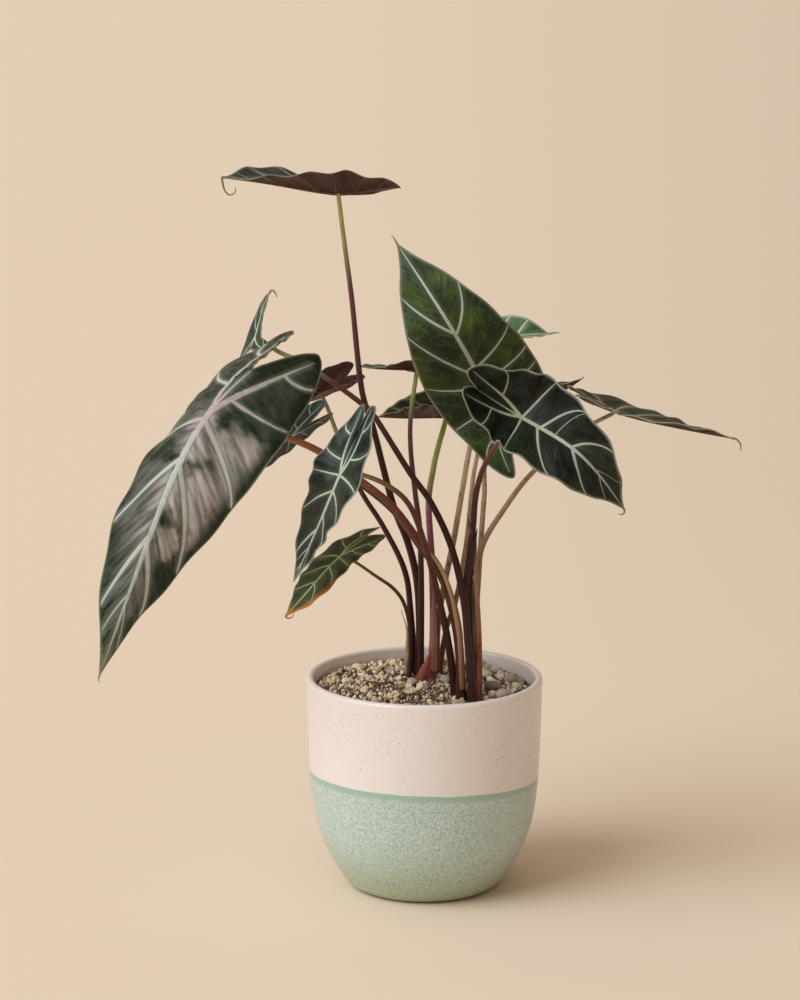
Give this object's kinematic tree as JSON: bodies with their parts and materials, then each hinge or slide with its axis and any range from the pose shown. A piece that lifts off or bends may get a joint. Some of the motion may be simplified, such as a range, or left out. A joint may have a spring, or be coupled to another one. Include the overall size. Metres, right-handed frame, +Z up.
{
  "type": "potted alocasia",
  "caption": "Living foliage plant with arrow-shaped, pale-veined dark leaves on slender maroon stalks, rooted in gritty mix in a two-tone glazed stoneware pot.",
  "frame": {"origin": "middle of the pot's flat base, on the surface that it stands on", "axes": "+Z up through the pot to the highest leaf, -Y towards the side that the large right-hand leaves face, +X to that side's right"},
  "size_m": [0.4043, 0.2032, 0.476],
  "materials": {
    "pot_glaze": "satin",
    "potting_mix": "matte",
    "stones": "matte",
    "leaf_dark": "satin",
    "leaf_green": "satin",
    "leaf_young": "satin",
    "stalk_maroon": "satin",
    "stalk_tan": "satin",
    "dry_sheath": "matte"
  },
  "bodies": {
    "root": {"leaf_back_left": "leaf_dark", "leaf_back_right": "leaf_dark", "leaf_behind_left": "leaf_dark", "leaf_big_left": "leaf_dark", "leaf_edge_back": "leaf_dark", "leaf_folded_back": "leaf_dark", "leaf_front_right": "leaf_dark", "leaf_low_left": "leaf_green", "leaf_middle_hanging": "leaf_dark", "leaf_right_edge": "leaf_dark", "leaf_small_back": "leaf_young", "leaf_small_left": "leaf_dark", "leaf_top": "leaf_dark", "leaf_upright": "leaf_green", "pebble_01": "stones", "pebble_02": "stones", "pebble_03": "stones", "pebble_04": "stones", "pebble_05": "stones", "pebble_06": "stones", "pebble_07": "stones", "pebble_08": "stones", "pebble_09": "stones", "pebble_10": "stones", "pebble_11": "stones", "pebble_12": "stones", "pot": "pot_glaze", "sheath_left": "dry_sheath", "sheath_right": "dry_sheath", "soil": "potting_mix", "spike_front": "dry_sheath", "stalk_back_left": "stalk_maroon", "stalk_back_right": "stalk_tan", "stalk_behind_left": "stalk_maroon", "stalk_big_left": "stalk_maroon", "stalk_edge_back": "stalk_maroon", "stalk_folded_back": "stalk_maroon", "stalk_front_right": "stalk_maroon", "stalk_low_left": "stalk_maroon", "stalk_middle_hanging": "stalk_maroon", "stalk_right_edge": "stalk_tan", "stalk_small_back": "stalk_tan", "stalk_small_left": "stalk_maroon", "stalk_top": "stalk_maroon", "stalk_upright": "stalk_tan"}
  },
  "joints": []
}
